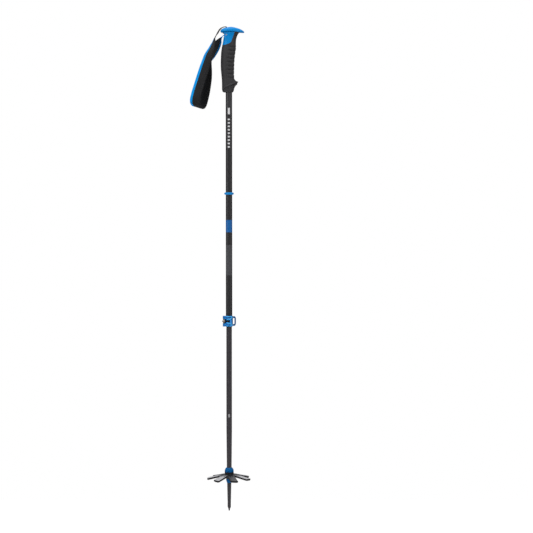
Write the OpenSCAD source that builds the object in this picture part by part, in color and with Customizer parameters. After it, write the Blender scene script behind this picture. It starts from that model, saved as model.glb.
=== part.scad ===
// Telescopic ski pole: grip with wrist strap, two tubes, a cam lock, a petal basket and a tip.
// The origin is the point of the tip, +Z runs up the shaft and +X is the side of the beak.

/* [Tubes] */
// Outer diameter of the upper shaft
upper_d = 16.1; // [15.9:0.1:16.4]
// Wall of the upper shaft
upper_wall = 0.65; // [0.6:0.05:0.7]
// Outer diameter of the lower shaft
lower_d = 13.9; // [13.6:0.1:13.9]
// Wall of the lower shaft
lower_wall = 1; // [0.8:0.1:1.2]
// Outer diameter of the lower shaft where its taper ends
taper_d = 12.1; // [11.9:0.1:12.3]
// Running clearance on the radius of the sliding and turning fits
running_gap = 0.06; // [0.03:0.01:0.09]

/* [Heights above the tip] */
// Lower end of the upper shaft
upper_bottom_z = 465; // [464.5:0.1:465.5]
// Upper end of the upper shaft, inside the grip
upper_top_z = 1178; // [1174:1:1179]
// Middle of the lock
lock_z = 477.3; // [477:0.1:478]
// Middle of the ring on the upper shaft
ring_z = 795.6; // [700:0.1:900]
// Upper end of the lower shaft
lower_top_z = 784; // [740:1:830]
// Top of the basket's hub, where the lower shaft ends
hub_top_z = 97.7; // [97:0.1:99]
// Lower end of the rubber handle
handle_bottom_z = 1047.5; // [1046:0.5:1048]
// Parting plane between the head and the grip
head_z = 1195.5; // [1195:0.1:1196]

/* [Lock] */
// Height of the clamp band
band_h = 23; // [20:0.5:24]
// Outer radius of the clamp band
band_r = 9.5; // [9.2:0.1:9.6]
// Height of the lever
lever_h = 26.5; // [26:0.5:28]
// Thickness of the lever's wall
lever_wall = 2.3; // [2:0.1:2.4]
// Diameter of the tension screw
screw_d = 4; // [3.6:0.1:4]

/* [Basket] */
// Number of petals
petals = 7; // [5:1:8]
// Radius of the circle through the middle of the petals' ends
petal_reach = 56; // [45:1:60]
// Width of a petal
petal_w = 18; // [14:0.5:20]
// Thickness of a petal
petal_t = 3.6; // [2:0.1:4]
// Angle by which the petals slope down
petal_droop = 12.5; // [8:0.5:16]
// Direction of the first petal about the shaft
petal_start = -74.5; // [-90:0.5:90]

/* [Strap] */
// Width of the webbing
webbing_w = 15; // [12:0.5:15.5]
// Thickness of the webbing
webbing_t = 1.6; // [1.2:0.1:2]
// Width of the padded loop
band_w = 33; // [28:0.5:34]
// Thickness of the padded loop
band_t = 3.4; // [2.5:0.1:3.6]
// Width of the loop's edge binding
binding_w = 9; // [6:0.5:10]

/* [Hidden] */
$fn = 64;
TINY = 0.02;
UPPER_R = upper_d / 2;
UPPER_BORE_R = UPPER_R - upper_wall;
LOWER_R = lower_d / 2;
LOWER_BORE_R = LOWER_R - lower_wall;
TAPER_R = taper_d / 2;
FERRULE_R = 5;
TAPER_TOP_Z = 200;
TAPER_BOTTOM_Z = 112;
LINER_TOP_Z = 505;
COLLAR_TOP_Z = 108.7;
HUB_BOTTOM_Z = 81;
HUB_R = 11.3;
SEAT_BOTTOM_Z = 70.5;
LAND_BOTTOM_Z = 9.8;
LAND_TOP_Z = 26;
LAND_R = 4.3;
NIB_R = 2;
NECK_R = 3.5;
PLUG_R = LOWER_R - 0.1;
PLUG_FLANGE_H = 2;
BUSH_H = 16;
SLEEVE_R = 10.2;
SLEEVE_BOTTOM_Z = 1056;
SLEEVE_TOP_Z = 1182;

// Lock, measured from the shaft's axis
PIVOT = [-12.5, -9];
PIVOT_R = 1.5;
EAR_INNER_Y = 1;
EAR_OUTER_Y = 4.9;
EAR_END_X = -15.2;
EAR_H = 18;
SADDLE_T = 0.6;
SADDLE_L = 6.8;
// Flat slot that the screw swings in
SCREW_SLOT_L = 7;
SCREW_SLOT_H = 4.4;
LOBE_R = 3;
CAM_THROW = 0.35;
LOBE_GAP = 11.4;
LEVER_IN_R = band_r + 0.3;
LEVER_OUT_R = LEVER_IN_R + lever_wall;
LEVER_START = 220;
LEVER_END = 315;
LOOP_LENGTH = 12.2;
LOOP_H = 24;
TRUNNION_R = 4.7;
TRUNNION_H = 7.6;
SCREW_DEPTH = 2.4;

// Grip
PIN_AT = [-5.9, 1189];
PIN_R = 1.5;
SPIGOT_R = 3;
SPIGOT_X = 6.5;
SPIGOT_DEPTH = 8;
SLOT_X = -4.7;
SLOT_W = 4.2;
CAVITY_BOTTOM_Z = 1184;
CAVITY_W = 16.8;

// Head: [x, bottom z, top z, half width]
HEAD_STATIONS = [
    [-20.9, 1198, 1199.6, 1.5],
    [-20, 1196.5, 1201.8, 6],
    [-18, 1195.7, 1203.6, 10],
    [-14, 1195.5, 1205.7, 13.5],
    [-8, 1195.5, 1207.5, 16],
    [0, 1195.5, 1209, 17.5],
    [7, 1195.5, 1209.4, 17.8],
    [14, 1195.5, 1208.2, 17],
    [23.5, 1195.5, 1205.7, 14.2],
    [30, 1195.3, 1203.1, 10.8],
    [35, 1194.8, 1200.4, 6.6],
    [38.2, 1195, 1197.6, 2]
];

// Grip: [z, back x, front x, half depth, reach of the finger spur]
GRIP_STATIONS = [
    [1047.5, -12.8, 9.6, 10.4, 0],
    [1050, -16, 11.4, 12.3, 0],
    [1053, -16.9, 12.4, 13, 0],
    [1057, -17.2, 12.8, 13.2, 0.6],
    [1062, -17.3, 13, 13.3, 2.6],
    [1067, -17.3, 13.2, 13.5, 6.6],
    [1072, -17.4, 13.4, 13.6, 9],
    [1074.5, -17.4, 13.4, 13.6, 6.8],
    [1077, -17.5, 13.3, 13.4, 3.2],
    [1082, -17.9, 13.2, 13.2, 0.4],
    [1092, -18.8, 13, 13.3, 0],
    [1106, -20, 13.2, 13.9, 0],
    [1120, -20.3, 13.6, 14.2, 0],
    [1134, -19.9, 14.7, 14.3, 0],
    [1147, -19.1, 16.2, 14, 0],
    [1156, -17.9, 17.6, 13.6, 0],
    [1164, -16.4, 17.6, 13.2, 0],
    [1173, -14.8, 17.6, 12.8, 0],
    [1182, -13.2, 19, 12.5, 0],
    [1189, -12.4, 21.5, 12.6, 0],
    [1192.4, -13.1, 23.4, 13.3, 0],
    [1194.2, -15, 24.9, 14.2, 0],
    [1195.2, -17.4, 26, 15, 0]
];

// Line between the hard core and the rubber, seen from the side: [x, z]
PARTING_LINE = [
    [-40, 1163], [-13.8, 1163.8], [-5.6, 1165.4], [2.1, 1168.3],
    [5.9, 1172.2], [9.1, 1180.4], [12.3, 1188.7], [13.6, 1193.8], [14, 1230], [-40, 1230]
];

// Strap route, from the head through the loop and back to the grip: [x, y, z, twist, share, drop].
// At twist 0 the width lies along Y. At share 0 it is the webbing's width and at share 1 the loop's.
// drop is the slope by which the near edge lies lower where the strap runs level.
STRAP_ROUTE = [
    [-4.7, 0, 1194.6, 0, 0, 0],
    [-4.7, 0, 1206, 0, 0, 0],
    [-6.3, 0, 1209, 0, 0, 0],
    [-11, 0, 1209.7, 0, 0, 0.15],
    [-17.5, 0, 1207.4, 0, 0, 0.2],
    [-23, 0, 1202.6, 0, 0, 0.4],
    [-27.2, 0, 1195.6, 2, 0, 0.45],
    [-31, 0, 1189.4, 4, 0, 0.15],
    [-34.2, -0.6, 1183.8, 8, 0.03, 0],
    [-36.6, -1.6, 1178, 11, 0.39, 0],
    [-38.9, -3.6, 1168, 21, 0.94, 0],
    [-42.4, -5.2, 1157, 30, 1, 0],
    [-46.9, -6.2, 1147, 37, 1, 0],
    [-51, -6.6, 1137, 43, 1, 0],
    [-55.8, -7, 1122, 48, 1, 0],
    [-60.8, -7.4, 1107, 51, 1, 0],
    [-65.6, -8, 1092, 52, 1, 0],
    [-70.4, -8.8, 1077, 52, 1, 0],
    [-75.1, -9.8, 1062, 52, 1, 0],
    [-79.6, -10.6, 1047, 52, 1, 0],
    [-83.1, -10.8, 1032, 52, 1, 0.1],
    [-83.9, -8.6, 1021, 52, 1, 0.2],
    [-80.9, -3.4, 1013, 52, 1, 0.26],
    [-75.4, 3.6, 1011, 52, 1, 0.28],
    [-70.2, 9.4, 1015.6, 52, 1, 0.26],
    [-66.4, 12, 1025, 52, 1, 0.2],
    [-63.3, 12.2, 1037, 52, 1, 0.1],
    [-60.4, 11.6, 1050, 52, 1, 0],
    [-57.6, 10.6, 1066, 51, 1, 0],
    [-55, 9.6, 1082, 48, 1, 0],
    [-52.2, 8.6, 1099, 38, 1, 0],
    [-48.6, 8.2, 1115, 20, 1, 0],
    [-44.4, 8.2, 1128, 2, 1, 0],
    [-40.4, 8, 1138, -13, 1, 0],
    [-36, 7.6, 1148, -21, 1, 0],
    [-31.8, 7, 1158, -26, 1, 0],
    [-28.4, 5.8, 1167, -27, 1, 0],
    [-25.4, 3.6, 1175, -25, 0.83, 0.1],
    [-21.4, 1.8, 1180.8, -20, 0.33, 0.2],
    [-18.3, 0.8, 1184, -15, 0.03, 0.25],
    [-15.6, 0.2, 1186.6, -6, 0, 0.25],
    [-13, 0, 1188.2, 0, 0, 0.1],
    [-10.4, 0, 1189, 0, 0, 0]
];
// Points of the route where the padded loop starts and ends
LOOP_FROM = 8;
LOOP_TO = 39;
// Gap at the two seams, so that the loop swings free of the webbing
SEAM_GAP = 0.4;
// Inner edge of the binding, as a share of the loop's half width
BINDING_EDGE = -1 + 2 * binding_w / band_w;

// ---- helpers ----

// A closed skin over rings that all have the same number of points
module skin(rings) {
    sides = len(rings[0]);
    last = len(rings) - 1;
    walls = [
        for (r = [0:last - 1], s = [0:sides - 1])
            let (a = r * sides + s, b = r * sides + (s + 1) % sides)
                each [[a, b + sides, b], [a, a + sides, b + sides]]
    ];
    ends = [
        [for (s = [0:sides - 1]) s],
        [for (s = [0:sides - 1]) last * sides + sides - 1 - s]
    ];
    polyhedron(points = [for (r = rings) each r], faces = concat(walls, ends));
}

function unit(v) = v / norm(v);
function signed_power(v, p) = sign(v) * pow(abs(v), p);

// Direction of the strap's route at one of its points
function along(i) =
    unit([
        for (k = [0:2])
            STRAP_ROUTE[min(i + 1, len(STRAP_ROUTE) - 1)][k] - STRAP_ROUTE[max(i - 1, 0)][k]
    ]);

// Direction across the strap, square to its route
function across(i) =
    let (
        twist = STRAP_ROUTE[i][3],
        flat = [sin(twist), -cos(twist), -STRAP_ROUTE[i][5]],
        way = along(i)
    )
        unit(flat - (flat * way) * way);

function half_width(i) = (webbing_w + STRAP_ROUTE[i][4] * (band_w - webbing_w)) / 2;

// Four corners of the strap's section at a point of its route, moved along the route by shift.
// from and to are shares of the half width.
function strap_ring(i, thickness, from, to, shift) =
    let (
        middle = [for (k = [0:2]) STRAP_ROUTE[i][k]] + shift * along(i),
        side = across(i) * half_width(i),
        out = cross(along(i), across(i)) * thickness / 2
    )
        [middle + side * from - out, middle + side * to - out,
         middle + side * to + out, middle + side * from + out];

// Stretch of the strap between two points of its route
module strap_run(first, last, thickness, from = -1, to = 1, gap = 0) {
    skin([
        for (i = [first:last])
            strap_ring(i, thickness, from, to, i == first ? gap : i == last ? -gap : 0)
    ]);
}

// A tube, given its outer and inner radius and its two heights
module tube(outer, inner, low, high) {
    difference() {
        translate([0, 0, low])
            cylinder(r = outer, h = high - low);
        translate([0, 0, low - 1])
            cylinder(r = inner, h = high - low + 2);
    }
}

// A round bar along Y through a point of the XZ plane
module bar_y(x, z, r, from, to) {
    translate([x, from, z])
        rotate([-90, 0, 0])
            cylinder(r = r, h = to - from);
}

// ---- grip ----

module head_shape() {
    sides = 24;
    skin([
        for (s = HEAD_STATIONS)
            let (mid = (s[1] + s[2]) / 2, rise = (s[2] - s[1]) / 2)
                [for (k = [0:sides - 1])
                    let (t = 360 * (k + 0.5) / sides)
                        [s[0], s[3] * signed_power(cos(t), 0.85), mid + rise * signed_power(sin(t), 0.75)]]
    ]);
}

module grip_shape() {
    sides = 24;
    skin([
        for (s = GRIP_STATIONS)
            let (mid = (s[1] + s[2]) / 2, half = (s[2] - s[1]) / 2)
                [for (k = [0:sides - 1])
                    let (t = 360 * k / sides, spur = s[4] * pow(max(cos(t), 0), 8))
                        [mid + half * signed_power(cos(t), 0.9) + spur,
                         s[3] * signed_power(sin(t), 0.9), s[0]]]
    ]);
}

module core_side() {
    translate([0, 60, 0])
        rotate([90, 0, 0])
            linear_extrude(120)
                polygon(PARTING_LINE);
}

module pommel() {
    // Length of the spigot that is buried in the head
    spigot_root = 3;
    color("dodgerblue")
        difference() {
            union() {
                head_shape();
                translate([SPIGOT_X, 0, head_z - SPIGOT_DEPTH])
                    cylinder(r = SPIGOT_R, h = SPIGOT_DEPTH + spigot_root);
            }
            translate([SLOT_X, 0, head_z])
                cube([SLOT_W, webbing_w + 2, 60], center = true);
        }
}

module grip_core() {
    // The strap's cavity is open at the back and reaches forward to here
    cavity_front_x = 2;
    cap_room = 2;
    spigot_room = 2.5;
    color("dodgerblue")
        difference() {
            union() {
                intersection() {
                    grip_shape();
                    core_side();
                }
                translate([0, 0, SLEEVE_BOTTOM_Z])
                    cylinder(r = SLEEVE_R, h = SLEEVE_TOP_Z - SLEEVE_BOTTOM_Z);
            }
            translate([0, 0, SLEEVE_BOTTOM_Z - 1])
                cylinder(r = UPPER_R + TINY, h = upper_top_z + cap_room - SLEEVE_BOTTOM_Z + 1);
            translate([cavity_front_x - 40, -CAVITY_W / 2, CAVITY_BOTTOM_Z])
                cube([40, CAVITY_W, 20]);
            bar_y(PIN_AT[0], PIN_AT[1], PIN_R + TINY, -30, 30);
            translate([SPIGOT_X, 0, head_z - SPIGOT_DEPTH - spigot_room])
                cylinder(r = SPIGOT_R + TINY, h = 20);
        }
}

module grip_handle() {
    color("dimgray")
        difference() {
            grip_shape();
            translate([TINY, 0, -TINY])
                core_side();
            translate([0, 0, SLEEVE_BOTTOM_Z - TINY])
                cylinder(r = SLEEVE_R + TINY, h = SLEEVE_TOP_Z - SLEEVE_BOTTOM_Z + 2 * TINY);
            translate([0, 0, handle_bottom_z - 1])
                cylinder(r = UPPER_R + TINY, h = 20);
        }
}

module strap_wedge() {
    wedge_r = 4;
    half_w = 8;
    // Block above the barrel, set forward of the pin: length along X and height above the pin
    block_l = 4.6;
    block_h = 5;
    color("black")
        difference() {
            union() {
                bar_y(PIN_AT[0], PIN_AT[1], wedge_r, -half_w, half_w);
                translate([PIN_AT[0] - 1, -half_w, PIN_AT[1]])
                    cube([block_l, 2 * half_w, block_h]);
            }
            bar_y(PIN_AT[0], PIN_AT[1], PIN_R + TINY, -half_w - 1, half_w + 1);
        }
}

module strap_pin() {
    half_l = 12.5;
    color("silver")
        bar_y(PIN_AT[0], PIN_AT[1], PIN_R, -half_l, half_l);
}

// ---- strap ----

module strap_webbing() {
    color("black")
        strap_run(0, LOOP_FROM, webbing_t);
}

module strap_tail() {
    color("black")
        strap_run(LOOP_TO, len(STRAP_ROUTE) - 1, webbing_t);
}

module strap_band() {
    color("black")
        strap_run(LOOP_FROM, LOOP_TO, band_t, BINDING_EDGE + TINY, 1, SEAM_GAP);
}

module strap_binding() {
    color("dodgerblue")
        strap_run(LOOP_FROM, LOOP_TO, band_t, -1, BINDING_EDGE, SEAM_GAP);
}

// ---- upper shaft ----

module upper_shaft() {
    slit_w = 1.2;
    slit_h = 30;
    color("dimgray")
        difference() {
            tube(UPPER_R, UPPER_BORE_R, upper_bottom_z, upper_top_z);
            translate([-UPPER_R - 1, -slit_w / 2, upper_bottom_z - 1])
                cube([2 * UPPER_R + 2, slit_w, slit_h + 1]);
        }
}

module shaft_cap() {
    plug_h = 12;
    flange_h = 1.5;
    color("black")
        union() {
            translate([0, 0, upper_top_z - plug_h])
                cylinder(r = UPPER_BORE_R - TINY, h = plug_h);
            translate([0, 0, upper_top_z])
                cylinder(r = UPPER_R - 0.4, h = flange_h);
        }
}

module shaft_ring() {
    ring_r = 11.75;
    ring_h = 5.5;
    chamfer = 1.4;
    color("dodgerblue")
        translate([0, 0, ring_z])
            rotate_extrude()
                polygon([
                    [UPPER_R + TINY, -ring_h / 2], [ring_r - chamfer, -ring_h / 2],
                    [ring_r, -ring_h / 4], [ring_r, ring_h / 4],
                    [ring_r - chamfer, ring_h / 2], [UPPER_R + TINY, ring_h / 2]
                ]);
}

// ---- lock ----

module lock_liner() {
    foot_z = upper_bottom_z - 1.3;
    foot_step = 0.5;
    split_w = 1.2;
    color("black")
        difference() {
            union() {
                tube(UPPER_BORE_R - TINY, LOWER_R + running_gap, foot_z, LINER_TOP_Z);
                tube(UPPER_R + foot_step, LOWER_R + running_gap, foot_z, upper_bottom_z - TINY);
            }
            translate([0, -split_w / 2, upper_bottom_z - 5])
                cube([20, split_w, 60]);
        }
}

module ear(side) {
    low_y = side > 0 ? EAR_INNER_Y : -EAR_OUTER_Y;
    translate([EAR_END_X, low_y, -EAR_H / 2])
        cube([-EAR_END_X - UPPER_R + 1.5, EAR_OUTER_Y - EAR_INNER_Y, EAR_H]);
}

module clamp_band() {
    // Window behind the lever's slot: from x, width and height
    window_x = -8;
    window_w = 9;
    window_h = 6;
    slot_depth = 0.8;
    color("dodgerblue")
        translate([0, 0, lock_z])
            difference() {
                union() {
                    translate([0, 0, -band_h / 2])
                        cylinder(r = band_r, h = band_h);
                    ear(1);
                    ear(-1);
                }
                translate([0, 0, -band_h])
                    cylinder(r = UPPER_R + TINY, h = 2 * band_h);
                translate([-20, -EAR_INNER_Y, -band_h])
                    cube([18, 2 * EAR_INNER_Y, 2 * band_h]);
                translate([window_x, -12, -window_h / 2])
                    cube([window_w, 12, window_h]);
                bar_y(PIVOT[0], 0, screw_d / 2 + running_gap, -12, 12);
                translate([PIVOT[0], -EAR_OUTER_Y, 0])
                    cube([SCREW_SLOT_L, 2 * slot_depth, SCREW_SLOT_H], center = true);
            }
}

module cam_saddle() {
    color("silver")
        difference() {
            translate([EAR_END_X, -EAR_OUTER_Y - SADDLE_T, lock_z - EAR_H / 2])
                cube([SADDLE_L, SADDLE_T - TINY, EAR_H]);
            translate([PIVOT[0], -EAR_OUTER_Y, lock_z])
                cube([SCREW_SLOT_L, 3, SCREW_SLOT_H], center = true);
        }
}

module lever_trunnion() {
    end_r = 1.7;
    rim_h = 1;
    // The pivot's ends stop short of the lever's two faces
    end_gap = 0.6;
    color("tan")
        translate([PIVOT[0], PIVOT[1], lock_z])
            difference() {
                union() {
                    rotate_extrude()
                        polygon([
                            [0, -TRUNNION_H / 2], [end_r, -TRUNNION_H / 2], [TRUNNION_R, -rim_h / 2],
                            [TRUNNION_R, rim_h / 2], [end_r, TRUNNION_H / 2], [0, TRUNNION_H / 2]
                        ]);
                    translate([0, 0, -lever_h / 2 + end_gap])
                        cylinder(r = PIVOT_R, h = lever_h - 2 * end_gap);
                }
                bar_y(0, 0, screw_d / 2 + running_gap, -SCREW_DEPTH - 0.2, 9);
            }
}

// Outline of the lever seen from above, without its finger loop
module lever_plan(out_r) {
    difference() {
        circle(r = out_r);
        circle(r = LEVER_IN_R);
        polygon([
            [0, 0],
            40 * [cos(LEVER_END), sin(LEVER_END)], [40, 40], [-40, 40],
            40 * [cos(LEVER_START), sin(LEVER_START)]
        ]);
    }
    polygon([
        PIVOT + [0.5, 0.3 - LOBE_R + CAM_THROW],
        (LEVER_OUT_R - 0.4) * [cos(LEVER_START + 14), sin(LEVER_START + 14)],
        (LEVER_IN_R + 0.5) * [cos(LEVER_START + 6), sin(LEVER_START + 6)],
        (LEVER_IN_R + 0.5) * [cos(LEVER_START + 1), sin(LEVER_START + 1)],
        PIVOT + [1, LOBE_R + CAM_THROW - 0.4]
    ]);
    translate(PIVOT + [0, CAM_THROW])
        circle(r = LOBE_R);
}

// The open loop at the free end, drawn flat and then set on the tangent of the lever's end
module finger_loop() {
    plate_t = lever_wall - 0.3;
    middle_r = (LEVER_IN_R + LEVER_OUT_R) / 2;
    bend_from = 7.5;
    corner_h = 8;
    round_end = [
        for (t = [-90:15:90])
            [bend_from + (LOOP_LENGTH - bend_from) * cos(t),
             sign(t) * (LOOP_H / 2 - corner_h) + corner_h * sin(t)]
    ];
    translate([middle_r * cos(LEVER_END), middle_r * sin(LEVER_END), 0])
        rotate([0, 0, LEVER_END + 90])
            rotate([90, 0, 0])
                translate([0, 0, -plate_t / 2])
                    linear_extrude(plate_t)
                        difference() {
                            polygon(concat([[-0.5, LOOP_H / 2], [-0.5, -LOOP_H / 2]], round_end));
                            loop_window();
                        }
}

module loop_window() {
    low = [1.4, -7.6];
    high = [9.1, 7.6];
    corner = 1.8;
    translate([low[0] + corner, low[1]])
        square([high[0] - low[0] - 2 * corner, high[1] - low[1]]);
    translate([low[0], low[1] + corner])
        square([high[0] - low[0], high[1] - low[1] - 2 * corner]);
    for (x = [low[0] + corner, high[0] - corner], y = [low[1] + corner, high[1] - corner])
        translate([x, y])
            circle(r = corner);
}

module lock_lever() {
    rail_h = 4.2;
    rail_proud = 0.6;
    slot_end_x = 2.2;
    slot_h = 4.8;
    color("dodgerblue")
        translate([0, 0, lock_z])
            difference() {
                union() {
                    translate([0, 0, -lever_h / 2])
                        linear_extrude(lever_h)
                            lever_plan(LEVER_OUT_R);
                    for (low = [-lever_h / 2, lever_h / 2 - rail_h])
                        translate([0, 0, low])
                            linear_extrude(rail_h)
                                lever_plan(LEVER_OUT_R + rail_proud);
                    finger_loop();
                }
                translate([PIVOT[0], PIVOT[1], -lever_h])
                    cylinder(r = PIVOT_R + running_gap, h = 2 * lever_h);
                translate([PIVOT[0] - 12, -30, -LOBE_GAP / 2])
                    cube([17, 28, LOBE_GAP]);
                translate([PIVOT[0], -20, -slot_h / 2])
                    cube([slot_end_x - PIVOT[0], 20, slot_h]);
            }
}

module tension_screw() {
    head_r = 3.4;
    head_h = 3.2;
    head_y = EAR_OUTER_Y + 0.15;
    socket_r = 1.45;
    socket_depth = 1.95;
    color("silver")
        translate([0, 0, lock_z])
            difference() {
                union() {
                    bar_y(PIVOT[0], 0, screw_d / 2, PIVOT[1] - SCREW_DEPTH, EAR_OUTER_Y + 1);
                    bar_y(PIVOT[0], 0, head_r, head_y, head_y + head_h);
                }
                translate([PIVOT[0], head_y + head_h - socket_depth, 0])
                    rotate([-90, 0, 0])
                        cylinder(r = socket_r, h = 6, $fn = 6);
            }
}

// ---- guide inside the upper shaft ----

module guide_bush() {
    low_z = lower_top_z + PLUG_FLANGE_H + 0.2;
    // Grooves that let the air past
    groove_w = 1.6;
    groove_depth = 0.94;
    groove_from = 1.8;
    color("gainsboro")
        difference() {
            tube(UPPER_BORE_R - running_gap, NECK_R + running_gap, low_z, low_z + BUSH_H);
            for (turn = [0:60:300])
                rotate([0, 0, turn])
                    translate([UPPER_BORE_R - running_gap - groove_depth, -groove_w / 2, low_z + groove_from])
                        cube([3, groove_w, BUSH_H]);
        }
}

module shaft_plug() {
    plug_h = 20;
    color("black")
        union() {
            translate([0, 0, lower_top_z - plug_h])
                cylinder(r = LOWER_BORE_R - TINY, h = plug_h);
            translate([0, 0, lower_top_z])
                cylinder(r = PLUG_R, h = PLUG_FLANGE_H);
            translate([0, 0, lower_top_z + PLUG_FLANGE_H])
                cylinder(r = NECK_R, h = BUSH_H + 0.4);
        }
}

module bush_retainer() {
    neck_top_z = lower_top_z + PLUG_FLANGE_H + BUSH_H + 0.4;
    rim_h = 2;
    nose_h = 2;
    nose_r = 4;
    socket_r = 1.6;
    socket_depth = 2.4;
    color("black")
        translate([0, 0, neck_top_z + TINY])
            difference() {
                union() {
                    cylinder(r = PLUG_R, h = rim_h);
                    translate([0, 0, rim_h])
                        cylinder(r1 = PLUG_R, r2 = nose_r, h = nose_h);
                }
                translate([0, 0, rim_h + nose_h - socket_depth])
                    cylinder(r = socket_r, h = 4, $fn = 6);
            }
}

// ---- lower section ----

module lower_shaft() {
    seat_top_z = 126;
    color("dimgray")
        rotate_extrude()
            polygon([
                [FERRULE_R + TINY, hub_top_z + TINY], [TAPER_R, hub_top_z + TINY],
                [TAPER_R, TAPER_BOTTOM_Z], [LOWER_R - 0.05, TAPER_TOP_Z],
                [LOWER_R, TAPER_TOP_Z + 30], [LOWER_R, lower_top_z],
                [LOWER_BORE_R, lower_top_z], [LOWER_BORE_R, TAPER_TOP_Z],
                [FERRULE_R + TINY, seat_top_z]
            ]);
}

module basket_collar() {
    notch_w = 4.6;
    notch_h = 3.2;
    notch_from_r = 9.6;
    color("dodgerblue")
        difference() {
            rotate_extrude()
                polygon([
                    [TAPER_R + TINY, hub_top_z + TINY], [HUB_R, hub_top_z + TINY], [HUB_R, 101],
                    [10.7, 103.8], [9.2, 106.8], [7.3, COLLAR_TOP_Z], [TAPER_R + TINY, COLLAR_TOP_Z]
                ]);
            for (k = [0:petals - 1])
                rotate([0, 0, petal_start + 360 * (k + 0.5) / petals])
                    translate([notch_from_r, -notch_w / 2, hub_top_z - 1])
                        cube([5, notch_w, notch_h + 1]);
        }
}

module petal() {
    root_r = 9;
    root_w = 9;
    // How far the trailing corner of the end is set back
    rake = 3;
    slope_top_z = 95.2;
    translate([0, 0, slope_top_z])
        rotate([0, petal_droop, 0])
            translate([0, 0, -petal_t])
                linear_extrude(petal_t)
                    polygon([
                        [root_r, -root_w / 2], [22, -petal_w / 2 + 0.6],
                        [petal_reach - rake, -petal_w / 2], [petal_reach - 1, -petal_w / 2 + 2],
                        [petal_reach + 1.4, petal_w / 2 - 1.6], [petal_reach, petal_w / 2],
                        [22, petal_w / 2 - 0.6], [root_r, root_w / 2]
                    ]);
}

module basket() {
    tooth_w = 4.2;
    tooth_h = 3;
    tooth_from_r = 9.8;
    color("black")
        difference() {
            union() {
                rotate_extrude()
                    polygon([
                        [2, HUB_BOTTOM_Z + TINY], [8.2, HUB_BOTTOM_Z + TINY], [10.8, 86],
                        [20.5, 87.6], [20.5, 90.2], [HUB_R, 92.4], [HUB_R, hub_top_z], [2, hub_top_z]
                    ]);
                for (k = [0:petals - 1])
                    rotate([0, 0, petal_start + 360 * k / petals])
                        petal();
                intersection() {
                    tube(HUB_R - 0.1, tooth_from_r, hub_top_z - 1, hub_top_z + tooth_h);
                    union() {
                        for (k = [0:petals - 1])
                            rotate([0, 0, petal_start + 360 * (k + 0.5) / petals])
                                translate([tooth_from_r - 1, -tooth_w / 2, hub_top_z - 1])
                                    cube([5, tooth_w, tooth_h + 1]);
                    }
                }
            }
            translate([0, 0, HUB_BOTTOM_Z - 5])
                cylinder(r = FERRULE_R + TINY, h = 40);
        }
}

module basket_seat() {
    color("dodgerblue")
        rotate_extrude()
            polygon([
                [FERRULE_R + TINY, SEAT_BOTTOM_Z], [5.7, SEAT_BOTTOM_Z], [6.3, 72.5],
                [7.7, 76.5], [7.7, HUB_BOTTOM_Z], [FERRULE_R + TINY, HUB_BOTTOM_Z]
            ]);
}

module tip_ferrule() {
    mouth_z = 5.2;
    mouth_r = 2.7;
    neck_r = 5.2;
    neck_z = 68;
    socket_top_z = 18;
    plug_top_z = 124;
    color("dimgray")
        rotate_extrude()
            polygon([
                [NIB_R + TINY, mouth_z], [mouth_r, mouth_z], [LAND_R, LAND_BOTTOM_Z],
                [LAND_R, LAND_TOP_Z], [neck_r, neck_z], [neck_r, SEAT_BOTTOM_Z - TINY],
                [FERRULE_R, SEAT_BOTTOM_Z - TINY], [FERRULE_R, plug_top_z], [0, plug_top_z],
                [0, socket_top_z], [NIB_R + TINY, socket_top_z]
            ]);
}

module carbide_tip() {
    color("silver")
        rotate_extrude()
            polygon([
                [0, 0.5], [0.8, 0], [1.5, 0], [NIB_R, 0.8], [NIB_R, 17.9], [0, 17.9]
            ]);
}

pommel();
grip_core();
grip_handle();
strap_wedge();
strap_pin();
strap_webbing();
strap_tail();
strap_band();
strap_binding();
upper_shaft();
shaft_cap();
shaft_ring();
lock_liner();
clamp_band();
cam_saddle();
lever_trunnion();
lock_lever();
tension_screw();
guide_bush();
shaft_plug();
bush_retainer();
lower_shaft();
basket_collar();
basket();
basket_seat();
tip_ferrule();
carbide_tip();
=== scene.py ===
import math

import bmesh
import bpy
import numpy as np
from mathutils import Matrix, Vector


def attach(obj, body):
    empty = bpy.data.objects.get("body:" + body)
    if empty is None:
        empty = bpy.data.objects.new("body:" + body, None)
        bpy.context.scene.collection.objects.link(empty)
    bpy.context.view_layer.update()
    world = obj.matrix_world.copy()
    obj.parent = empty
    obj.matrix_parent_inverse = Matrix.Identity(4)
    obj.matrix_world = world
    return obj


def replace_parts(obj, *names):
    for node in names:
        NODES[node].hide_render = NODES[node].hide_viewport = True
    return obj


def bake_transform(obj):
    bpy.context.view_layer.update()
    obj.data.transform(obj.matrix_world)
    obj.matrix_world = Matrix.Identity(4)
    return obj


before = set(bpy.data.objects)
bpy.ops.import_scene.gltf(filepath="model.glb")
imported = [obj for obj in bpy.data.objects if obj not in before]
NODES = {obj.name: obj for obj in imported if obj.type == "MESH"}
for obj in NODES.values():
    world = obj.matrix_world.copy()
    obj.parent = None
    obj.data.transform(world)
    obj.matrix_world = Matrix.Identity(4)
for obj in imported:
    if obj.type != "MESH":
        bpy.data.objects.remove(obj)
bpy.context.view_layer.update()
MM = 0.001


# ---- node materials ----

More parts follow.
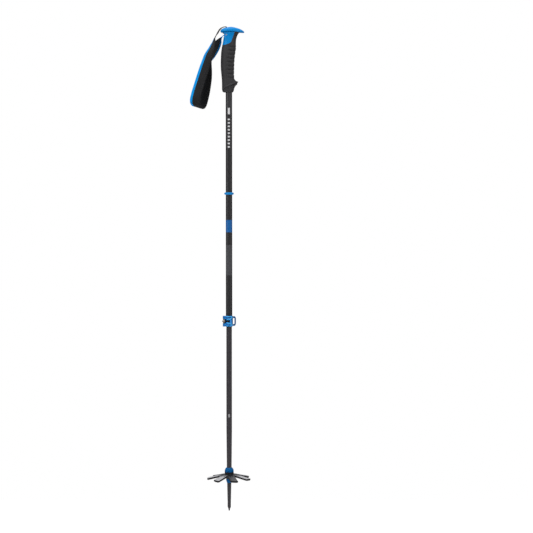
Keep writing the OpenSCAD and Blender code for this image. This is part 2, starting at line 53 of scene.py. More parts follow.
class Mat:
    """A procedural material on one Principled shader, laid out in the part's own frame, in metres."""

    def __init__(self, name, rough=0.5, metallic=0.0, **fixed):
        self.mat = bpy.data.materials.new(name)
        self.mat.use_nodes = True
        self.tree = self.mat.node_tree
        self.tree.nodes.clear()
        self.out = self.add("ShaderNodeOutputMaterial")
        self.bsdf = self.add("ShaderNodeBsdfPrincipled")
        self.link(self.bsdf.outputs[0], self.out.inputs["Surface"])
        self.bsdf.inputs["Roughness"].default_value = rough
        self.bsdf.inputs["Metallic"].default_value = metallic
        for key, value in fixed.items():
            self.bsdf.inputs[key.replace("_", " ")].default_value = value
        self.coord = self.add("ShaderNodeTexCoord").outputs["Object"]
        self.normal = None

    def add(self, kind, **props):
        n = self.tree.nodes.new(kind)
        for k, v in props.items():
            setattr(n, k, v)
        return n

    def link(self, a, b):
        self.tree.links.new(a, b)

    def put(self, socket, value):
        if hasattr(value, "links"):
            self.link(value, socket)
        else:
            socket.default_value = value

    def math(self, op, a, b=0.0):
        n = self.add("ShaderNodeMath", operation=op)
        self.put(n.inputs[0], a)
        self.put(n.inputs[1], b)
        return n.outputs[0]

    def axis(self, name):
        n = self.add("ShaderNodeSeparateXYZ")
        self.link(self.coord, n.inputs[0])
        return n.outputs[name]

    def noise(self, scale, detail=2.0, rough=0.5, stretch=(1, 1, 1)):
        m = self.add("ShaderNodeMapping")
        m.inputs["Scale"].default_value = stretch
        self.link(self.coord, m.inputs["Vector"])
        n = self.add("ShaderNodeTexNoise")
        n.inputs["Scale"].default_value = scale
        n.inputs["Detail"].default_value = detail
        n.inputs["Roughness"].default_value = rough
        self.link(m.outputs[0], n.inputs["Vector"])
        return n.outputs["Fac"]

    def ramp(self, fac, low, high, a=0.0, b=1.0):
        """a below low, b above high, and a straight change between them."""
        n = self.add("ShaderNodeMapRange", clamp=True)
        self.put(n.inputs["Value"], fac)
        for k, v in zip(("From Min", "From Max", "To Min", "To Max"), (low, high, a, b)):
            n.inputs[k].default_value = v
        return n.outputs[0]

    def between(self, value, low, high, soft=0.0002):
        """1 where value lies between low and high, 0 elsewhere."""
        rise = self.ramp(value, low - soft, low + soft)
        fall = self.ramp(value, high - soft, high + soft, 1.0, 0.0)
        return self.math("MULTIPLY", rise, fall)

    def front_strip(self, x, y, half, soft):
        """1 on a strip down the front of a tube, half wide each way, 0 elsewhere."""
        facing = self.ramp(y, -0.002, -0.0015, 1, 0)
        return self.math("MULTIPLY", facing, self.ramp(self.math("ABSOLUTE", x), half, half + soft, 1, 0))

    def mix(self, fac, a, b):
        n = self.add("ShaderNodeMix", data_type="RGBA")
        self.put(n.inputs["Factor"], fac)
        for socket, value in ((n.inputs[6], a), (n.inputs[7], b)):
            self.put(socket, value if hasattr(value, "links") else (*value, 1.0))
        return n.outputs[2]

    def color(self, value):
        self.link(value, self.bsdf.inputs["Base Color"])

    def rough(self, value):
        self.put(self.bsdf.inputs["Roughness"], value)

    def bump(self, height, strength, distance):
        n = self.add("ShaderNodeBump")
        n.inputs["Strength"].default_value = strength
        n.inputs["Distance"].default_value = distance
        self.link(height, n.inputs["Height"])
        if self.normal is not None:
            self.link(self.normal, n.inputs["Normal"])
        self.normal = n.outputs[0]
        self.link(self.normal, self.bsdf.inputs["Normal"])

    def edge_wear(self, width=0.0006):
        """1 on worn edges, 0 elsewhere."""
        bevel = self.add("ShaderNodeBevel", samples=4)
        bevel.inputs["Radius"].default_value = width
        geo = self.add("ShaderNodeNewGeometry")
        dot = self.add("ShaderNodeVectorMath", operation="DOT_PRODUCT")
        self.link(bevel.outputs[0], dot.inputs[0])
        self.link(geo.outputs["Normal"], dot.inputs[1])
        return self.ramp(dot.outputs["Value"], 0.995, 0.9)


def tint(rgb, k):
    return tuple(min(1.0, c * k) for c in rgb)


def moulded_plastic(name, rgb, rough, spec=0.35, scuffs=0.3):
    """Fine-grained moulded plastic with pale scuffs; scuffs sets how strong they and the grain are."""
    grain = 0.00004
    m = Mat(name, rough, Specular_IOR_Level=spec)
    broad = m.noise(38, 3)
    fine = m.noise(2600, 2, 0.6)
    scuff = m.noise(420, 4, 0.7, (1, 1, 0.25))
    base = m.mix(broad, tint(rgb, 0.93), tint(rgb, 1.07))
    worn = m.ramp(scuff, 0.66, 0.74, 0, scuffs)
    lit = tuple(c + (1 - c) * 0.16 for c in rgb)
    m.color(m.mix(worn, base, lit))
    satin = m.ramp(fine, 0.3, 0.7, rough - 0.04, rough + 0.06)
    m.rough(m.math("ADD", satin, m.math("MULTIPLY", worn, 0.18)))
    m.bump(fine, 0.35, grain * scuffs * 3)
    m.bump(scuff, 0.12, grain * scuffs * 6)
    return m.mat


BLUE = (0.0, 0.205, 0.55)
BLACK = (0.016, 0.016, 0.017)

blue_plastic = moulded_plastic("blue_plastic", BLUE, 0.34, spec=0.14, scuffs=0.08)
collar_plastic = moulded_plastic("collar_plastic", (0.0, 0.075, 0.225), 0.33, spec=0.08, scuffs=0.06)
black_plastic = moulded_plastic("black_plastic", BLACK, 0.42)
white_plastic = moulded_plastic("white_plastic", (0.62, 0.61, 0.58), 0.45)


def rubber():
    """Matt black rubber with pores and a little pale dust."""
    m = Mat("grip_rubber", 0.68, Specular_IOR_Level=0.3)
    broad = m.noise(30, 3)
    fine = m.noise(1500, 3, 0.65)
    pores = m.noise(5200, 1, 0.5)
    dust = m.ramp(m.noise(75, 4, 0.7), 0.52, 0.78, 0, 0.35)
    base = m.mix(broad, (0.019, 0.0185, 0.02), (0.03, 0.029, 0.031))
    m.color(m.mix(dust, base, (0.05, 0.049, 0.052)))
    m.rough(m.ramp(fine, 0.3, 0.7, 0.55, 0.75))
    m.bump(fine, 0.4, 0.00009)
    m.bump(pores, 0.25, 0.00003)
    return m.mat


# Heights of the decoration on the tubes, in metres
BLUE_BAND = (0.6991, 0.7298)
GREY_BAND = (0.5918, 0.6672)
LIGHTER_FROM, LIGHTER_TO = 0.99, 1.02
MARK_BAR = (0.9925, 1.0085)
MARK_DASHES, DASH_PITCH, MARK_HALF = (0.9085, 0.985), 0.0085, 0.0024
LOWER_MARK, LOWER_MARK_HALF = (0.236, 0.244), 0.0018
RUB_FROM, RUB_TO = (0.40, 0.425), (0.464, 0.47)


def lacquer_tube():
    """Upper tube: satin charcoal lacquer, a blue band, a grey band with pinstripes and plain white marks."""
    m = Mat("upper_tube", 0.36, 0.0, Specular_IOR_Level=0.3)
    x, y, z = m.axis("X"), m.axis("Y"), m.axis("Z")
    grain = m.noise(900, 3, 0.6, (1, 1, 0.02))
    broad = m.noise(14, 2, 0.5, (1, 1, 0.3))
    dark = m.mix(broad, (0.012, 0.0115, 0.013), (0.018, 0.017, 0.019))
    upper = m.mix(broad, (0.024, 0.023, 0.025), (0.031, 0.030, 0.033))
    tone = m.mix(m.ramp(z, LIGHTER_FROM, LIGHTER_TO), dark, upper)
    blue = m.mix(broad, (0.0, 0.082, 0.275), (0.0, 0.096, 0.315))
    tone = m.mix(m.between(z, *BLUE_BAND), tone, blue)
    grey = m.mix(broad, (0.028, 0.028, 0.032), (0.036, 0.036, 0.041))
    pale = m.mix(broad, (0.05, 0.05, 0.055), (0.062, 0.062, 0.068))
    turn = m.math("ARCTAN2", x, m.math("MULTIPLY", y, -1.0))
    stripe = m.math("ABSOLUTE", m.math("SINE", m.math("MULTIPLY", turn, 6.0)))
    grey = m.mix(m.ramp(stripe, 0.55, 0.7), grey, pale)
    tone = m.mix(m.between(z, *GREY_BAND), tone, grey)
    # Plain white marks down the front of the tube: a bar, and a row of dashes below it
    front = m.front_strip(x, y, MARK_HALF, 0.0003)
    row = m.math("SINE", m.math("MULTIPLY", z, 2 * math.pi / DASH_PITCH))
    dashes = m.math("MULTIPLY", m.ramp(row, 0.1, 0.25), m.between(z, *MARK_DASHES))
    marks = m.math("MULTIPLY", front, m.math("MAXIMUM", dashes, m.between(z, *MARK_BAR)))
    rubbed = m.ramp(m.noise(1600, 3, 0.7), 0.3, 0.45, 0.75, 1.0)
    tone = m.mix(m.math("MULTIPLY", marks, rubbed), tone, (0.6, 0.6, 0.61))
    scratch = m.ramp(m.noise(240, 3, 0.75, (6, 6, 0.4)), 0.72, 0.76, 0, 0.3)
    m.color(m.mix(scratch, tone, (0.1, 0.1, 0.105)))
    m.rough(m.ramp(grain, 0.35, 0.65, 0.31, 0.39))
    m.bump(grain, 0.06, 0.00003)
    m.bump(scratch, 0.1, 0.00003)
    return m.mat


def anodised_tube():
    """Lower tube: dark grey anodised metal, drawn lengthwise, with one small plain mark."""
    m = Mat("lower_tube", 0.38, 0.2, Anisotropic=0.3, Specular_IOR_Level=0.35)
    grain = m.noise(1300, 3, 0.6, (1, 1, 0.015))
    broad = m.noise(11, 2, 0.5, (1, 1, 0.3))
    z = m.axis("Z")
    base = m.mix(broad, (0.03, 0.027, 0.031), (0.039, 0.035, 0.04))
    # Rings that the clamp's grip leaves where the pole is set to length
    rub = m.math("MULTIPLY", m.ramp(z, *RUB_FROM), m.ramp(z, *RUB_TO, 1, 0))
    line = m.ramp(m.noise(420, 2, 0.6, (0.05, 0.05, 1)), 0.56, 0.62)
    base = m.mix(m.math("MULTIPLY", m.math("MULTIPLY", rub, line), 0.1), base, (0.13, 0.125, 0.13))
    x, y = m.axis("X"), m.axis("Y")
    front = m.front_strip(x, y, LOWER_MARK_HALF, 0.0003)
    base = m.mix(m.math("MULTIPLY", front, m.between(z, *LOWER_MARK)), base, (0.3, 0.3, 0.31))
    scratch = m.ramp(m.noise(260, 3, 0.75, (6, 6, 0.35)), 0.71, 0.75, 0, 0.3)
    m.color(m.mix(scratch, base, (0.12, 0.115, 0.12)))
    m.rough(m.ramp(grain, 0.35, 0.65, 0.33, 0.42))
    m.bump(grain, 0.07, 0.00003)
    m.bump(scratch, 0.1, 0.00003)
    return m.mat


def metal(name, rgb, rough, brushed=(1, 1, 1), metallic=1.0, wear=None, blotch=0.12, grit=0.25, coat=0.0):
    """Metal with a fine grain; brushed stretches the grain, and wear is the colour of its rubbed edges."""
    m = Mat(name, rough, metallic, Coat_Weight=coat, Coat_Roughness=0.08)
    grain = m.noise(2200, 3, 0.6, brushed)
    broad = m.noise(60, 3)
    base = m.mix(broad, tint(rgb, 1 - blotch), tint(rgb, 1 + blotch))
    if wear:
        edge = m.math("MULTIPLY", m.edge_wear(), m.ramp(m.noise(700, 3, 0.7), 0.4, 0.6))
        base = m.mix(edge, base, wear)
    m.color(base)
    m.rough(m.ramp(grain, 0.3, 0.7, rough - 0.28 * grit, rough + 0.4 * grit))
    m.bump(grain, grit, 0.00003)
    return m.mat


def lever_metal_painted_shading():
    """The lever's blue metal, with painted highlights where the mesh's ridge attribute says so and painted
    shade where its groove attribute says so.
    """
    m = Mat("lever_metal_painted_shading", 0.27, 0.6, Coat_Weight=0.3, Coat_Roughness=0.1)
    groove = m.add("ShaderNodeAttribute", attribute_name="groove").outputs["Fac"]
    ridge = m.add("ShaderNodeAttribute", attribute_name="ridge").outputs["Fac"]
    broad = m.noise(60, 3)
    grain = m.noise(2200, 3, 0.6)
    base = m.mix(broad, (0.0, 0.14, 0.43), (0.0, 0.16, 0.48))
    # Painted highlight on the ridges and the top and bottom edges, then painted shade in the grooves
    base = m.mix(m.math("MULTIPLY", ridge, 0.8), base, (0.06, 0.48, 0.85))
    m.color(m.mix(m.math("MULTIPLY", groove, 0.9), base, (0.0, 0.035, 0.15)))
    m.rough(m.ramp(grain, 0.3, 0.7, 0.25, 0.3))
    m.bump(grain, 0.06, 0.00003)
    return m.mat


def fabric(name, dark, light, pitch, sheen=0.25, twill=False, rough=0.85):
    """Woven or knitted cloth laid out by the piece's own UVs, in metres."""
    m = Mat(name, rough, Sheen_Weight=sheen, Sheen_Roughness=0.45, Specular_IOR_Level=0.15)
    uv = m.add("ShaderNodeUVMap", uv_map="lay").outputs[0]
    sep = m.add("ShaderNodeSeparateXYZ")
    m.link(uv, sep.inputs[0])
    u, v = sep.outputs["X"], sep.outputs["Y"]
    k = 2 * math.pi / pitch
    if twill:
        a = m.math("SINE", m.math("MULTIPLY", m.math("ADD", u, v), k))
        b = m.math("SINE", m.math("MULTIPLY", m.math("SUBTRACT", u, v), k * 0.5))
    else:
        a = m.math("SINE", m.math("MULTIPLY", u, k))
        b = m.math("SINE", m.math("MULTIPLY", v, k))
    weave = m.math("MULTIPLY", a, b)
    over = m.ramp(weave, -1, 1)
    fuzz = m.noise(5200, 2, 0.7)
    broad = m.noise(45, 3, 0.6)
    tone = m.mix(m.ramp(fuzz, 0.25, 0.75), dark, light)
    tone = m.mix(m.math("MULTIPLY", over, 0.35), tone, tint(light, 1.3))
    m.color(m.mix(m.ramp(broad, 0.35, 0.7, 0, 0.3), tone, tint(dark, 0.6)))
    m.rough(m.ramp(fuzz, 0.2, 0.8, rough - 0.1, min(1, rough + 0.1)))
    m.bump(over, 0.5, pitch * 0.16)
    m.bump(fuzz, 0.3, 0.00006)
    return m.mat


PETALS, PETAL_START = 7, math.radians(-74.5)
# The half span, in radians of turn, round the front petal where the painted sky reflection is weaker, and its
# soft edge
FRONT_DIM_HALF, FRONT_DIM_SOFT = 0.38, 0.07


def basket_plastic():
    """Satin black moulding, with a painted sky reflection in pale grey on the petals' upper faces, none near
    the hub and less of it on the front one.
    """
    m = Mat("basket_plastic", 0.34, Specular_IOR_Level=0.1, Coat_Weight=0.02, Coat_Roughness=0.2)
    fine = m.noise(2400, 2, 0.6)
    broad = m.noise(40, 3)
    scuff = m.ramp(m.noise(300, 4, 0.7, (1, 1, 0.4)), 0.62, 0.72, 0, 0.5)
    base = m.mix(broad, (0.006, 0.006, 0.007), (0.011, 0.011, 0.012))
    facing = m.add("ShaderNodeSeparateXYZ")
    m.link(m.add("ShaderNodeNewGeometry").outputs["True Normal"], facing.inputs[0])
    x, y = m.axis("X"), m.axis("Y")
    radius = m.math("SQRT", m.math("ADD", m.math("MULTIPLY", x, x), m.math("MULTIPLY", y, y)))
    # Painted sky reflection: pale where faces point up, away from the hub
    upper = m.math("MULTIPLY", m.ramp(facing.outputs["Z"], 0.94, 0.96), m.ramp(radius, 0.015, 0.027))
    # The front petal gets less of the painted reflection
    turn = m.math("ARCTAN2", y, x)
    low, high = PETAL_START - FRONT_DIM_HALF, PETAL_START + FRONT_DIM_HALF
    rise = m.ramp(turn, low - FRONT_DIM_SOFT, low)
    fall = m.ramp(turn, high, high + FRONT_DIM_SOFT, 1.0, 0.0)
    front_dimming = m.math("MULTIPLY", rise, fall)
    upper = m.math("MULTIPLY", upper, m.math("SUBTRACT", 1.0, m.math("MULTIPLY", front_dimming, 0.85)))
    # Pale grey of the painted sky reflection
    reflection_grey = m.mix(m.noise(160, 4, 0.65), (0.27, 0.27, 0.285), (0.46, 0.46, 0.48))
    base = m.mix(upper, base, reflection_grey)
    m.color(m.mix(m.math("MULTIPLY", scuff, 0.3), base, (0.07, 0.07, 0.075)))
    m.rough(m.math("ADD", m.ramp(fine, 0.3, 0.7, 0.24, 0.36), m.math("MULTIPLY", scuff, 0.2)))
    m.bump(fine, 0.3, 0.00004)
    return m.mat


grip_rubber = rubber()
upper_tube = lacquer_tube()
lower_tube = anodised_tube()
blue_metal = metal("blue_metal", (0.0, 0.165, 0.5), 0.26, metallic=0.7, wear=(0.06, 0.3, 0.66),
                   blotch=0.04, grit=0.06, coat=0.2)
steel = metal("steel", (0.56, 0.55, 0.53), 0.3, (1, 0.05, 1))
bronze = metal("bronze", (0.2, 0.172, 0.15), 0.36, (1, 1, 0.1))
carbide = metal("carbide", (0.07, 0.065, 0.068), 0.36, (1, 1, 0.2))
dark_steel = metal("dark_steel", (0.03, 0.034, 0.05), 0.4)
ferrule_plastic = moulded_plastic("ferrule_plastic", (0.024, 0.021, 0.024), 0.4)
basket_black = basket_plastic()
webbing_cloth = fabric("black_webbing", (0.005, 0.005, 0.0055), (0.012, 0.012, 0.013), 0.0011, 0.04)
padding_cloth = fabric("black_padding", (0.006, 0.006, 0.0068), (0.014, 0.0138, 0.0155), 0.0009, 0.06)
binding_cloth = fabric("blue_binding", (0.0, 0.2, 0.54), (0.0, 0.29, 0.72), 0.0008, 0.03, True)
black_thread = fabric("black_thread", (0.012, 0.012, 0.013), (0.035, 0.035, 0.037), 0.0004, 0.3)
blue_thread = fabric("blue_thread", (0.0, 0.19, 0.52), (0.0, 0.28, 0.7), 0.0004, 0.05)


# ---- mesh helpers ----

def piece(name, verts, faces, mat, smooth=True, uvs=None):
    """A mesh piece in metres. uvs gives one (u, v) for each vertex, in metres."""
    me = bpy.data.meshes.new(name)
    me.from_pydata([tuple(v) for v in verts], [], faces)
    me.update()
    bm = bmesh.new()
    bm.from_mesh(me)
    bmesh.ops.recalc_face_normals(bm, faces=bm.faces)
    bm.to_mesh(me)
    bm.free()
    layer = me.uv_layers.new(name="lay")
    if uvs is not None:
        for loop in me.loops:
            layer.data[loop.index].uv = uvs[loop.vertex_index]
    for p in me.polygons:
        p.use_smooth = smooth
    ob = bpy.data.objects.new(name, me)
    bpy.context.scene.collection.objects.link(ob)
    me.materials.append(mat)
    return ob


def ring_faces(count, sides, closed=False):
    """Faces that join count rings of sides points, with flat ends unless the last ring meets the first."""
    faces = []
    for r in range(count - (0 if closed else 1)):
        for s in range(sides):
            a, b = r * sides + s, r * sides + (s + 1) % sides
            c, d = ((r + 1) % count) * sides + (s + 1) % sides, ((r + 1) % count) * sides + s
            faces.append((a, b, c, d))
    if not closed:
        faces.append(tuple(range(sides)))
        faces.append(tuple((count - 1) * sides + s for s in range(sides)))
    return faces


def catmull(rows, steps):
    """Smooth curve through the rows of numbers, with steps points to each span."""
    p = np.array(rows, float)
    out = []
    for i in range(len(p) - 1):
        a, b = p[i], p[i + 1]
        before = p[i - 1] if i > 0 else 2 * a - b
        after = p[i + 2] if i + 2 < len(p) else 2 * b - a
        for k in range(steps):
            t = k / steps
            out.append(
                0.5 * (2 * a + (b - before) * t + (2 * before - 5 * a + 4 * b - after) * t * t
                       + (3 * a - before - 3 * b + after) * t ** 3)
            )
    out.append(p[-1])
    return np.array(out)


def apply(ob):
    """Bakes the modifiers of a piece into its mesh."""
    dg = bpy.context.evaluated_depsgraph_get()
    me = bpy.data.meshes.new_from_object(ob.evaluated_get(dg), depsgraph=dg)
    ob.modifiers.clear()
    ob.data = me
    return ob


def combine(ob, other, operation):
    """Joins other to the piece or cuts it out, and removes it."""
    mod = ob.modifiers.new("combine", "BOOLEAN")
    mod.operation, mod.solver, mod.object = operation, "EXACT", other
    apply(ob)
    bpy.data.objects.remove(other)


def cut(ob, cutter):
    combine(ob, cutter, "DIFFERENCE")


def bevel(ob, width, segments=3, angle=28):
    """Rounds the edges that turn by more than angle degrees."""
    mod = ob.modifiers.new("edges", "BEVEL")
    mod.width, mod.segments, mod.limit_method = width, segments, "ANGLE"
    mod.angle_limit = math.radians(angle)
    mod.harden_normals = True
    return ob


def shade(ob, angle=35):
    """Smooth shading, with the edges that turn by more than angle degrees kept sharp."""
    me = ob.data
    for p in me.polygons:
        p.use_smooth = True
    bm = bmesh.new()
    bm.from_mesh(me)
    for e in bm.edges:
        e.smooth = len(e.link_faces) != 2 or e.calc_face_angle(0) < math.radians(angle)
    bm.to_mesh(me)
    bm.free()
    return ob


def paint(node, mat):
    ob = NODES[node]
    ob.data.materials.clear()
    ob.data.materials.append(mat)
    return ob


def power(v, p):
    """v to the power p, with the sign of v kept."""
    return math.copysign(abs(v) ** p, v)


# ---- strap route, the same points as the CAD ----

# Each row is x, y, z, twist in degrees, share of the loop's width, and drop of the near edge
ROUTE = [
    (-4.7, 0, 1194.6, 0, 0, 0), (-4.7, 0, 1206, 0, 0, 0), (-6.3, 0, 1209, 0, 0, 0),
    (-11, 0, 1209.7, 0, 0, 0.15), (-17.5, 0, 1207.4, 0, 0, 0.2), (-23, 0, 1202.6, 0, 0, 0.4),
    (-27.2, 0, 1195.6, 2, 0, 0.45), (-31, 0, 1189.4, 4, 0, 0.15), (-34.2, -0.6, 1183.8, 8, 0.03, 0),
    (-36.6, -1.6, 1178, 11, 0.39, 0), (-38.9, -3.6, 1168, 21, 0.94, 0), (-42.4, -5.2, 1157, 30, 1, 0),
    (-46.9, -6.2, 1147, 37, 1, 0), (-51, -6.6, 1137, 43, 1, 0), (-55.8, -7, 1122, 48, 1, 0),
    (-60.8, -7.4, 1107, 51, 1, 0), (-65.6, -8, 1092, 52, 1, 0), (-70.4, -8.8, 1077, 52, 1, 0),
    (-75.1, -9.8, 1062, 52, 1, 0), (-79.6, -10.6, 1047, 52, 1, 0), (-83.1, -10.8, 1032, 52, 1, 0.1),
    (-83.9, -8.6, 1021, 52, 1, 0.2), (-80.9, -3.4, 1013, 52, 1, 0.26), (-75.4, 3.6, 1011, 52, 1, 0.28),
    (-70.2, 9.4, 1015.6, 52, 1, 0.26), (-66.4, 12, 1025, 52, 1, 0.2), (-63.3, 12.2, 1037, 52, 1, 0.1),
    (-60.4, 11.6, 1050, 52, 1, 0), (-57.6, 10.6, 1066, 51, 1, 0), (-55, 9.6, 1082, 48, 1, 0),
    (-52.2, 8.6, 1099, 38, 1, 0), (-48.6, 8.2, 1115, 20, 1, 0), (-44.4, 8.2, 1128, 2, 1, 0),
    (-40.4, 8, 1138, -13, 1, 0), (-36, 7.6, 1148, -21, 1, 0), (-31.8, 7, 1158, -26, 1, 0),
    (-28.4, 5.8, 1167, -27, 1, 0), (-25.4, 3.6, 1175, -25, 0.83, 0.1), (-21.4, 1.8, 1180.8, -20, 0.33, 0.2),
    (-18.3, 0.8, 1184, -15, 0.03, 0.25), (-15.6, 0.2, 1186.6, -6, 0, 0.25), (-13, 0, 1188.2, 0, 0, 0.1),
    (-10.4, 0, 1189, 0, 0, 0),
]
LOOP_FROM, LOOP_TO = 8, 39
STEPS = 10
WEBBING_W, BAND_W, WEBBING_T, BINDING_W = 15.0, 33.0, 1.6, 9.0
PATH = catmull(ROUTE, STEPS)


def unit(rows):
    return rows / np.linalg.norm(rows, axis=1)[:, None]


# Along the strap, across its width, off its face, half its width and the distance run, at each step of PATH
TWIST = np.radians(PATH[:, 3])
FLAT = np.stack([np.sin(TWIST), -np.cos(TWIST), -PATH[:, 5]], 1)
WAY = unit(np.gradient(PATH[:, :3], axis=0))
SIDE = unit(FLAT - (FLAT * WAY).sum(1)[:, None] * WAY)
OUT = np.cross(WAY, SIDE)
HALF = (WEBBING_W + PATH[:, 4] * (BAND_W - WEBBING_W)) / 2
RUN = np.concatenate([[0], np.cumsum(np.linalg.norm(np.diff(PATH[:, :3], axis=0), axis=1))])


def on_strap(i, across, up):
    """A point of the strap at path step i: across is in mm from the middle, up is in mm off its face."""
    i0 = int(min(max(i, 0), len(PATH) - 1))
    i1 = min(i0 + 1, len(PATH) - 1)
    t = min(max(i - i0, 0.0), 1.0)
    mid = PATH[i0, :3] * (1 - t) + PATH[i1, :3] * t
    side = SIDE[i0] * (1 - t) + SIDE[i1] * t
    out = OUT[i0] * (1 - t) + OUT[i1] * t
    return (mid + side * across + out * up) * MM


def strap_mesh(name, first, last, section, mat):
    """A closed run of strap. section(i) lists the section's (across, up) points, in mm, all the way round."""
    verts, uvs = [], []
    for i in range(first, last + 1):
        pts = section(i)
        length = 0.0
        for k, (a, u) in enumerate(pts):
            verts.append(on_strap(i, a, u))
            if k:
                length += math.hypot(a - pts[k - 1][0], u - pts[k - 1][1])
            uvs.append((length * MM, RUN[i] * MM))
    return piece(name, verts, ring_faces(last + 1 - first, len(pts)), mat, uvs=uvs)


def rounded_section(low, high, thick, corner, columns, steps=5, crown=0.0, dips=()):
    """Section of a flat band from low to high: round edges, a soft crown and sewn dips (place, depth, width).

    The number of points doesn't depend on the widths, so that the rings of a strap always match."""
    def height(a):
        s = (a - (low + high) / 2) / ((high - low) / 2)
        h = thick / 2 + crown * (1 - s * s)
        for at, deep, wide in dips:
            h -= deep * math.exp(-(((a - at) / wide) ** 2))
        return h

    pts = []
    r = min(corner, thick / 2)
    cols = [low + r + (high - low - 2 * r) * k / columns for k in range(columns + 1)]
    for c in cols:
        pts.append((c, height(c)))
    for k in range(1, steps):
        t = math.pi / 2 - math.pi * k / steps
        pts.append((high - r + r * math.cos(t), height(high - r) * math.sin(t)))
    for c in reversed(cols):
        pts.append((c, -height(c)))
    for k in range(1, steps):
        t = -math.pi / 2 - math.pi * k / steps
        pts.append((low + r + r * math.cos(t), height(low + r) * math.sin(t)))
    return pts


def stitches(name, mat, places, length=2.2, radius=0.22):
    """One mesh of short thread stitches. places lists (point, direction, outward) in metres."""
    verts, faces, uvs = [], [], []
    rings, sides = 5, 6
    for at, way, out in places:
        at, way, out = Vector(at), Vector(way).normalized(), Vector(out).normalized()
        cross = way.cross(out).normalized()
        base = len(verts)
        for r in range(rings):
            s = r / (rings - 1) * 2 - 1
            lift = (1 - s * s) * radius * 1.3 - radius * 0.5
            thin = radius * (0.55 + 0.45 * (1 - s * s))
            for k in range(sides):
                t = 2 * math.pi * k / sides
                verts.append(at + (way * s * length / 2 + out * (lift + thin * math.sin(t))
                                   + cross * thin * math.cos(t)) * MM)
                uvs.append((k * 0.0002, s * length / 2 * MM))
        faces += [tuple(base + v for v in f) for f in ring_faces(rings, sides)]
    return piece(name, verts, faces, mat, uvs=uvs)


# ---- wrist strap ----

LOOP_START, LOOP_END = LOOP_FROM * STEPS, LOOP_TO * STEPS
# The tape is folded a little narrower on the inner run, round this row of ROUTE
NARROW_ROW, NARROW_ROWS, NARROW_MM = 26, 4, 2
TAPE_SHARE = 0.55
TAPE_OVERLAP, NEAR_SEAM, TAPE_SEAM = 0.9, 3.0, 2.2


def binding_w(i):
    """Width of the edge tape at path step i, in mm."""
    narrower = NARROW_MM * math.exp(-(((i / STEPS - NARROW_ROW) / NARROW_ROWS) ** 2))
    return min(BINDING_W - narrower, HALF[i] * TAPE_SHARE)


def end_fade(i):
    """0 at the loop's sewn ends, 1 where the padding is full."""
    return 1 - math.exp(-min(i - LOOP_START, LOOP_END - i) / 14)


def band_section(i):
    """Padding from just under the tape to the near edge, pressed in along its two seams."""
    low, high, full = -HALF[i] + binding_w(i) - TAPE_OVERLAP, HALF[i], end_fade(i) * PATH[i, 4]
    dips = [(high - NEAR_SEAM, 0.5 * full, 0.8), (low + 4.4, 0.35 * full, 0.8)]
    return rounded_section(low, high, 2.0 + 0.7 * full, 1.0, 36, crown=0.3 * full, dips=dips)


band = strap_mesh("strap_band_padding", LOOP_START + 1, LOOP_END - 1, band_section, padding_cloth)
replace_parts(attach(band, "wrist_strap"), "strap_band")


def binding_section(i):
    """Tape folded over the far edge and sewn through."""
    low = -HALF[i]
    high, full = low + binding_w(i), end_fade(i) * PATH[i, 4]
    return rounded_section(low, high, 2.4 + 1.0 * full, 1.5, 16, dips=[(high - TAPE_SEAM, 0.25, 0.6)])


binding = strap_mesh("strap_binding_tape", LOOP_START + 1, LOOP_END - 1, binding_section, binding_cloth)
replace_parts(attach(binding, "wrist_strap"), "strap_binding")


def seam_row(offset, up, first, last, pitch=3.0):
    """Stitch places along the strap, offset(i) mm from the middle, on the face given by the sign of up."""
    out = []
    at = RUN[first] + pitch / 2
    while at < RUN[last]:
        i = float(np.interp(at, RUN, np.arange(len(RUN))))
        k = int(i)
        sign = 1 if up > 0 else -1
        out.append((on_strap(i, offset(k), up), WAY[k], OUT[k] * sign))
        at += pitch
    return out


def near_seam(k):
    return HALF[k] - NEAR_SEAM


def tape_seam(k):
    return -HALF[k] + binding_w(k) - TAPE_SEAM


near_edge, far_edge = [], []
for face in (1, -1):
    near_edge += seam_row(near_seam, 1.42 * face, LOOP_START + 22, LOOP_END - 22)
    far_edge += seam_row(tape_seam, 1.48 * face, LOOP_START + 18, LOOP_END - 18, 2.6)
edge_thread = stitches("strap_edge_stitches", black_thread, near_edge)
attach(edge_thread, "wrist_strap")
tape_thread = stitches("binding_stitches", blue_thread, far_edge, 1.9, 0.18)
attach(tape_thread, "wrist_strap")


def webbing_section(i):
    """Flat webbing with a woven edge."""
    half, edge = HALF[i], 1.6
    dips = [(half - edge, 0.12, 0.35), (-half + edge, 0.12, 0.35)]
    return rounded_section(-half, half, WEBBING_T, 0.7, 24, steps=4, dips=dips)


# Both webbings run a little way into the loop's sewn ends. The upper one starts to bend behind the head's lip
SEWN_IN = 6
webbing = strap_mesh("strap_webbing_tape", 0, LOOP_START + SEWN_IN, webbing_section, webbing_cloth)
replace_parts(webbing, "strap_webbing")
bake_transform(webbing)

tail = strap_mesh("strap_tail_tape", LOOP_END - SEWN_IN, len(PATH) - 1, webbing_section, binding_cloth)
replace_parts(tail, "strap_tail")
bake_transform(tail)


# ---- head ----

# Each row is x, bottom z, top z and half width
HEAD = [
    (-20.9, 1198, 1199.6, 1.5), (-20, 1196.5, 1201.8, 6), (-18, 1195.7, 1203.6, 10),
    (-14, 1195.5, 1205.7, 13.5), (-8, 1195.5, 1207.5, 16), (0, 1195.5, 1209, 17.5),
    (7, 1195.5, 1209.4, 17.8), (14, 1195.5, 1208.2, 17), (23.5, 1195.5, 1205.7, 14.2),
    (30, 1195.3, 1203.1, 10.8), (35, 1194.8, 1200.4, 6.6), (38.2, 1195, 1197.6, 2),
]


